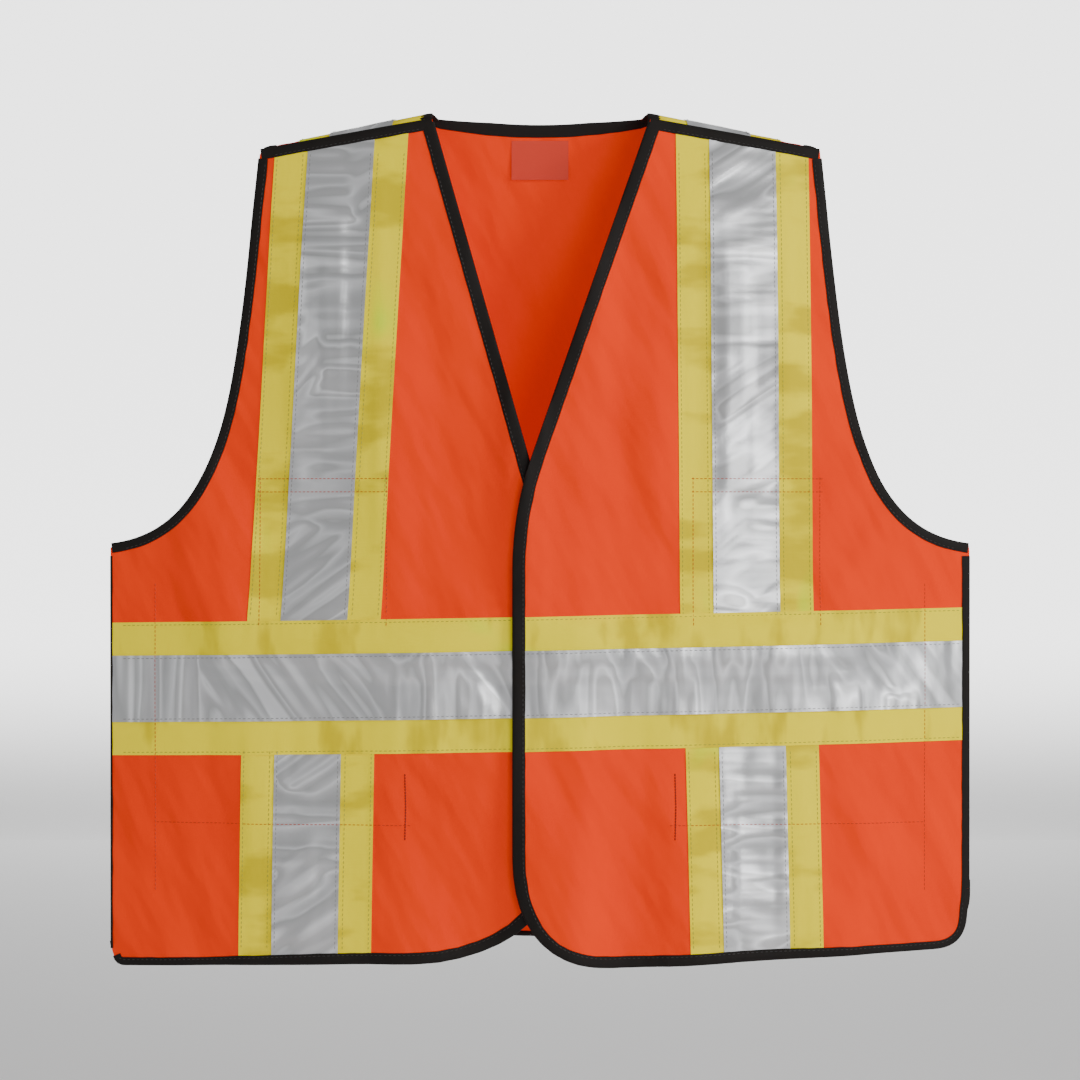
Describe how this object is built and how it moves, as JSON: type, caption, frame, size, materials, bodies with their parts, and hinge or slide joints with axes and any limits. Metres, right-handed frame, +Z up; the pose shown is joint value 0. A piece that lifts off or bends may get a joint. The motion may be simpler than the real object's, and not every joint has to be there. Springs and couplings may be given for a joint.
{
  "type": "high visibility vest",
  "caption": "Sleeveless safety vest with reflective tape, bound edges and tear-away side, shoulder and front closures.",
  "frame": {"origin": "the middle of the back neck edge's height, in the plane of the two side folds, where a peg or hanger holds the vest", "axes": "+Z up, -Y the way the wearer faces, +X the wearer's left; at rest the vest hangs closed"},
  "size_m": [0.662, 0.0951, 0.6525],
  "materials": {
    "orange_fabric": "fluorescent orange knitted polyester, matt",
    "lime_tape": "fluorescent lime woven tape, matt",
    "silver_tape": "silver glass-bead reflective tape, creased",
    "black_binding": "black folded binding, matt",
    "hook_and_loop": "black hook-and-loop strip",
    "label": "plain white woven label"
  },
  "bodies": {
    "back": {"back_hem_binding": "black_binding", "back_neck_binding": "black_binding", "back_panel": "orange_fabric", "back_waist_lime_tape": "lime_tape", "back_waist_silver_tape": "silver_tape", "left_back_armhole_binding": "black_binding", "left_cross_lime_tape": "lime_tape", "left_cross_silver_tape": "silver_tape", "left_shoulder_loop_strip": "hook_and_loop", "left_shoulder_tab": "orange_fabric", "neck_label": "label", "right_back_armhole_binding": "black_binding", "right_cross_lime_tape": "lime_tape", "right_cross_silver_tape": "silver_tape", "right_shoulder_loop_strip": "hook_and_loop", "right_shoulder_tab": "orange_fabric"},
    "left_tab": {"left_side_loop_strip": "hook_and_loop", "left_side_tab": "orange_fabric"},
    "left_front": {"front_hook_strip": "hook_and_loop", "left_chest_pocket": "orange_fabric", "left_front_armhole_binding": "black_binding", "left_front_edge_binding": "black_binding", "left_front_panel": "orange_fabric", "left_front_shoulder_binding": "black_binding", "left_front_side_binding": "black_binding", "left_lower_lime_tape": "lime_tape", "left_lower_pocket": "orange_fabric", "left_lower_silver_tape": "silver_tape", "left_shoulder_hook_strip": "hook_and_loop", "left_side_hook_strip": "hook_and_loop", "left_upper_lime_tape": "lime_tape", "left_upper_silver_tape": "silver_tape", "left_waist_lime_tape": "lime_tape", "left_waist_silver_tape": "silver_tape"},
    "right_tab": {"right_side_loop_strip": "hook_and_loop", "right_side_tab": "orange_fabric"},
    "right_front": {"front_loop_strip": "hook_and_loop", "right_chest_pocket": "orange_fabric", "right_front_armhole_binding": "black_binding", "right_front_edge_binding": "black_binding", "right_front_panel": "orange_fabric", "right_front_shoulder_binding": "black_binding", "right_front_side_binding": "black_binding", "right_lower_lime_tape": "lime_tape", "right_lower_pocket": "orange_fabric", "right_lower_silver_tape": "silver_tape", "right_shoulder_hook_strip": "hook_and_loop", "right_side_hook_strip": "hook_and_loop", "right_upper_lime_tape": "lime_tape", "right_upper_silver_tape": "silver_tape", "right_waist_lime_tape": "lime_tape", "right_waist_silver_tape": "silver_tape"}
  },
  "joints": [
    {"name": "left_swing", "type": "hinge", "parent": "back", "child": "left_tab", "pos_m": [0.33, 0, -0.45], "axis": [0, 0, 1], "range_deg": [0, 110]},
    {"name": "right_swing", "type": "hinge", "parent": "back", "child": "right_tab", "pos_m": [-0.33, 0, -0.45], "axis": [0, 0, 1], "range_deg": [-97, 0]},
    {"name": "left_tear_away", "type": "slide", "parent": "left_tab", "child": "left_front", "axis": [0, -1, 0], "range_m": [0, 0.12]},
    {"name": "right_tear_away", "type": "slide", "parent": "right_tab", "child": "right_front", "axis": [0, -1, 0], "range_m": [0, 0.12]}
  ],
  "couplings": [
    {"joint": "right_swing", "follows": "left_swing", "ratio": -0.88},
    {"joint": "right_tear_away", "follows": "left_tear_away", "ratio": 1}
  ]
}
